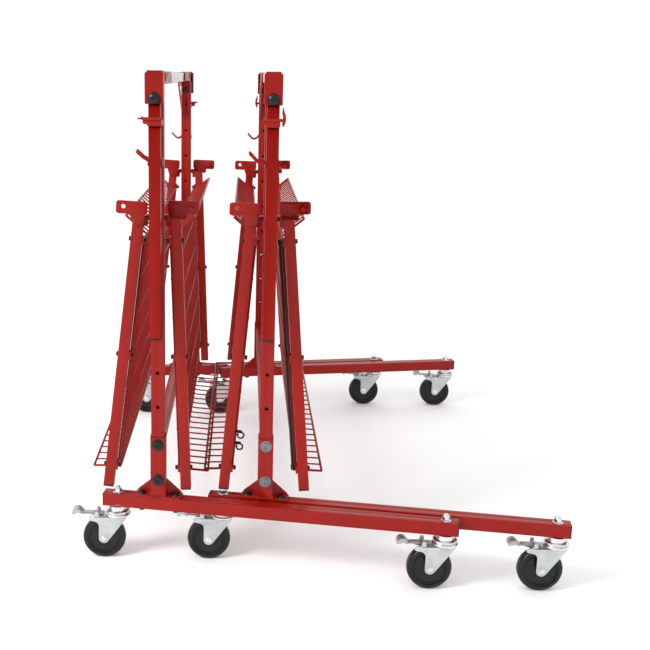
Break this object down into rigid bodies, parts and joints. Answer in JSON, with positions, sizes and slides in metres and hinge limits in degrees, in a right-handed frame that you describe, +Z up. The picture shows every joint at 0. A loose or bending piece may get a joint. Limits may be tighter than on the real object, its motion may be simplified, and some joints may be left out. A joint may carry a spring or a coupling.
{
  "type": "nested mobile parts cart pair",
  "caption": "Pair of nested mobile carts: splayed caster base rails, posts with sliding hooks and hinged wire trays for carrying panels and long parts",
  "frame": {"origin": "on the floor, in the middle of the two nested carts' bounding box", "axes": "+X along the base rails towards the end where the rails spread apart; +Y across the carts from the near side to the far side; +Z up"},
  "size_m": [1.4252, 1.661, 1.422],
  "materials": {
    "red_coat": "gloss",
    "pale_bar": "satin",
    "zinc": "satin",
    "pedal_zinc": "satin",
    "wheel_rubber": "matte",
    "black_plastic": "satin",
    "black_steel": "satin",
    "cord_fabric": "matte"
  },
  "bodies": {
    "a_frame": {"a_rails": "red_coat", "a_base_frame": "red_coat", "a_posts": "red_coat", "a_hook_rails": "red_coat", "a_top_crossbar": "pale_bar", "a_plastic_plugs": "black_plastic", "a_frame_bolts": "black_steel"},
    "b_frame": {"b_rails": "red_coat", "b_base_frame": "red_coat", "b_posts": "red_coat", "b_hook_rails": "red_coat", "b_top_crossbar": "pale_bar", "b_plastic_plugs": "black_plastic", "b_frame_bolts": "black_steel"},
    "a_wing_left_body": {"a_wing_left": "red_coat", "a_tray_left": "red_coat", "a_wing_bolts_left": "black_steel"},
    "a_wing_right_body": {"a_wing_right": "red_coat", "a_tray_right": "red_coat", "a_wing_bolts_right": "black_steel"},
    "a_panel_hook_near_body": {"a_panel_hook_near": "red_coat"},
    "a_j_hook_near_body": {"a_j_hook_near": "red_coat"},
    "a_panel_hook_far_body": {"a_panel_hook_far": "red_coat"},
    "a_j_hook_far_body": {"a_j_hook_far": "red_coat"},
    "a_fork_nl_body": {"a_caster_fork_nl": "zinc"},
    "a_wheel_nl_body": {"a_caster_wheel_nl": "wheel_rubber"},
    "a_pedal_nl_body": {"a_brake_pedal_nl": "pedal_zinc"},
    "a_fork_nr_body": {"a_caster_fork_nr": "zinc"},
    "a_wheel_nr_body": {"a_caster_wheel_nr": "wheel_rubber"},
    "a_pedal_nr_body": {"a_brake_pedal_nr": "pedal_zinc"},
    "a_fork_fl_body": {"a_caster_fork_fl": "zinc"},
    "a_wheel_fl_body": {"a_caster_wheel_fl": "wheel_rubber"},
    "a_pedal_fl_body": {"a_brake_pedal_fl": "pedal_zinc"},
    "a_fork_fr_body": {"a_caster_fork_fr": "zinc"},
    "a_wheel_fr_body": {"a_caster_wheel_fr": "wheel_rubber"},
    "a_pedal_fr_body": {"a_brake_pedal_fr": "pedal_zinc"},
    "b_wing_left_body": {"b_wing_left": "red_coat", "b_tray_left": "red_coat", "b_wing_bolts_left": "black_steel", "b_cord_hooks": "black_plastic"},
    "b_wing_right_body": {"b_wing_right": "red_coat", "b_tray_right": "red_coat", "b_wing_bolts_right": "black_steel", "b_tie_cord": "cord_fabric"},
    "b_panel_hook_near_body": {"b_panel_hook_near": "red_coat"},
    "b_j_hook_near_body": {"b_j_hook_near": "red_coat"},
    "b_panel_hook_far_body": {"b_panel_hook_far": "red_coat"},
    "b_j_hook_far_body": {"b_j_hook_far": "red_coat"},
    "b_fork_nl_body": {"b_caster_fork_nl": "zinc"},
    "b_wheel_nl_body": {"b_caster_wheel_nl": "wheel_rubber"},
    "b_pedal_nl_body": {"b_brake_pedal_nl": "pedal_zinc"},
    "b_fork_nr_body": {"b_caster_fork_nr": "zinc"},
    "b_wheel_nr_body": {"b_caster_wheel_nr": "wheel_rubber"},
    "b_pedal_nr_body": {"b_brake_pedal_nr": "pedal_zinc"},
    "b_fork_fl_body": {"b_caster_fork_fl": "zinc"},
    "b_wheel_fl_body": {"b_caster_wheel_fl": "wheel_rubber"},
    "b_pedal_fl_body": {"b_brake_pedal_fl": "pedal_zinc"},
    "b_fork_fr_body": {"b_caster_fork_fr": "zinc"},
    "b_wheel_fr_body": {"b_caster_wheel_fr": "wheel_rubber"},
    "b_pedal_fr_body": {"b_brake_pedal_fr": "pedal_zinc"}
  },
  "joints": [
    {"name": "nest_slide", "type": "slide", "parent": "a_frame", "child": "b_frame", "axis": [1, 0, 0], "range_m": [0, 0.38]},
    {"name": "a_wing_left_hinge", "type": "hinge", "parent": "a_frame", "child": "a_wing_left_body", "pos_m": [-0.47919, 0, 1.027], "axis": [0, 1, 0], "range_deg": [0, 85]},
    {"name": "a_wing_right_hinge", "type": "hinge", "parent": "a_frame", "child": "a_wing_right_body", "pos_m": [-0.42518, 0, 1.027], "axis": [0, -1, 0], "range_deg": [-0.8, 0]},
    {"name": "a_panel_hook_near_slide", "type": "slide", "parent": "a_frame", "child": "a_panel_hook_near_body", "axis": [0, 0, 1], "range_m": [-0.06, 0.02]},
    {"name": "a_j_hook_near_slide", "type": "slide", "parent": "a_frame", "child": "a_j_hook_near_body", "axis": [0, 0, 1], "range_m": [-0.44, 0.012]},
    {"name": "a_panel_hook_far_slide", "type": "slide", "parent": "a_frame", "child": "a_panel_hook_far_body", "axis": [0, 0, 1], "range_m": [-0.06, 0.02]},
    {"name": "a_j_hook_far_slide", "type": "slide", "parent": "a_frame", "child": "a_j_hook_far_body", "axis": [0, 0, 1], "range_m": [-0.44, 0.012]},
    {"name": "a_swivel_nl", "type": "hinge", "parent": "a_frame", "child": "a_fork_nl_body", "pos_m": [-0.57456, -0.63996, 0.165], "axis": [0, 0, 1], "continuous": true},
    {"name": "a_spin_nl", "type": "hinge", "parent": "a_fork_nl_body", "child": "a_wheel_nl_body", "pos_m": [-0.61555, -0.63996, 0.0635], "axis": [0, 1, 0], "continuous": true},
    {"name": "a_brake_nl", "type": "hinge", "parent": "a_fork_nl_body", "child": "a_pedal_nl_body", "pos_m": [-0.63555, -0.63996, 0.139], "axis": [0, -1, 0], "range_deg": [0, 10]},
    {"name": "a_swivel_nr", "type": "hinge", "parent": "a_frame", "child": "a_fork_nr_body", "pos_m": [0.36296, -0.79348, 0.165], "axis": [0, 0, 1], "continuous": true},
    {"name": "a_spin_nr", "type": "hinge", "parent": "a_fork_nr_body", "child": "a_wheel_nr_body", "pos_m": [0.32196, -0.79348, 0.0635], "axis": [0, 1, 0], "continuous": true},
    {"name": "a_brake_nr", "type": "hinge", "parent": "a_fork_nr_body", "child": "a_pedal_nr_body", "pos_m": [0.30196, -0.79348, 0.139], "axis": [0, -1, 0], "range_deg": [0, 10]},
    {"name": "a_swivel_fl", "type": "hinge", "parent": "a_frame", "child": "a_fork_fl_body", "pos_m": [-0.57456, 0.63996, 0.165], "axis": [0, 0, 1], "continuous": true},
    {"name": "a_spin_fl", "type": "hinge", "parent": "a_fork_fl_body", "child": "a_wheel_fl_body", "pos_m": [-0.61555, 0.63996, 0.0635], "axis": [0, 1, 0], "continuous": true},
    {"name": "a_brake_fl", "type": "hinge", "parent": "a_fork_fl_body", "child": "a_pedal_fl_body", "pos_m": [-0.63555, 0.63996, 0.139], "axis": [0, -1, 0], "range_deg": [0, 10]},
    {"name": "a_swivel_fr", "type": "hinge", "parent": "a_frame", "child": "a_fork_fr_body", "pos_m": [0.36296, 0.79348, 0.165], "axis": [0, 0, 1], "continuous": true},
    {"name": "a_spin_fr", "type": "hinge", "parent": "a_fork_fr_body", "child": "a_wheel_fr_body", "pos_m": [0.32196, 0.79348, 0.0635], "axis": [0, 1, 0], "continuous": true},
    {"name": "a_brake_fr", "type": "hinge", "parent": "a_fork_fr_body", "child": "a_pedal_fr_body", "pos_m": [0.30196, 0.79348, 0.139], "axis": [0, -1, 0], "range_deg": [0, 10]},
    {"name": "b_wing_left_hinge", "type": "hinge", "parent": "b_frame", "child": "b_wing_left_body", "pos_m": [-0.16819, 0, 1.027], "axis": [0, 1, 0], "range_deg": [-0.3, 0]},
    {"name": "b_wing_right_hinge", "type": "hinge", "parent": "b_frame", "child": "b_wing_right_body", "pos_m": [-0.11418, 0, 1.027], "axis": [0, -1, 0], "range_deg": [0, 68]},
    {"name": "b_panel_hook_near_slide", "type": "slide", "parent": "b_frame", "child": "b_panel_hook_near_body", "axis": [0, 0, 1], "range_m": [-0.06, 0.006]},
    {"name": "b_j_hook_near_slide", "type": "slide", "parent": "b_frame", "child": "b_j_hook_near_body", "axis": [0, 0, 1], "range_m": [-0.44, 0.012]},
    {"name": "b_panel_hook_far_slide", "type": "slide", "parent": "b_frame", "child": "b_panel_hook_far_body", "axis": [0, 0, 1], "range_m": [-0.06, 0.006]},
    {"name": "b_j_hook_far_slide", "type": "slide", "parent": "b_frame", "child": "b_j_hook_far_body", "axis": [0, 0, 1], "range_m": [-0.44, 0.012]},
    {"name": "b_swivel_nl", "type": "hinge", "parent": "b_frame", "child": "b_fork_nl_body", "pos_m": [-0.26355, -0.63996, 0.165], "axis": [0, 0, 1], "continuous": true},
    {"name": "b_spin_nl", "type": "hinge", "parent": "b_fork_nl_body", "child": "b_wheel_nl_body", "pos_m": [-0.30456, -0.63996, 0.0635], "axis": [0, 1, 0], "continuous": true},
    {"name": "b_brake_nl", "type": "hinge", "parent": "b_fork_nl_body", "child": "b_pedal_nl_body", "pos_m": [-0.32455, -0.63996, 0.139], "axis": [0, -1, 0], "range_deg": [0, 10]},
    {"name": "b_swivel_nr", "type": "hinge", "parent": "b_frame", "child": "b_fork_nr_body", "pos_m": [0.67396, -0.79348, 0.165], "axis": [0, 0, 1], "continuous": true},
    {"name": "b_spin_nr", "type": "hinge", "parent": "b_fork_nr_body", "child": "b_wheel_nr_body", "pos_m": [0.63296, -0.79348, 0.0635], "axis": [0, 1, 0], "continuous": true},
    {"name": "b_brake_nr", "type": "hinge", "parent": "b_fork_nr_body", "child": "b_pedal_nr_body", "pos_m": [0.61296, -0.79348, 0.139], "axis": [0, -1, 0], "range_deg": [0, 10]},
    {"name": "b_swivel_fl", "type": "hinge", "parent": "b_frame", "child": "b_fork_fl_body", "pos_m": [-0.26355, 0.63996, 0.165], "axis": [0, 0, 1], "continuous": true},
    {"name": "b_spin_fl", "type": "hinge", "parent": "b_fork_fl_body", "child": "b_wheel_fl_body", "pos_m": [-0.30456, 0.63996, 0.0635], "axis": [0, 1, 0], "continuous": true},
    {"name": "b_brake_fl", "type": "hinge", "parent": "b_fork_fl_body", "child": "b_pedal_fl_body", "pos_m": [-0.32455, 0.63996, 0.139], "axis": [0, -1, 0], "range_deg": [0, 10]},
    {"name": "b_swivel_fr", "type": "hinge", "parent": "b_frame", "child": "b_fork_fr_body", "pos_m": [0.67396, 0.79348, 0.165], "axis": [0, 0, 1], "continuous": true},
    {"name": "b_spin_fr", "type": "hinge", "parent": "b_fork_fr_body", "child": "b_wheel_fr_body", "pos_m": [0.63296, 0.79348, 0.0635], "axis": [0, 1, 0], "continuous": true},
    {"name": "b_brake_fr", "type": "hinge", "parent": "b_fork_fr_body", "child": "b_pedal_fr_body", "pos_m": [0.61296, 0.79348, 0.139], "axis": [0, -1, 0], "range_deg": [0, 10]}
  ]
}
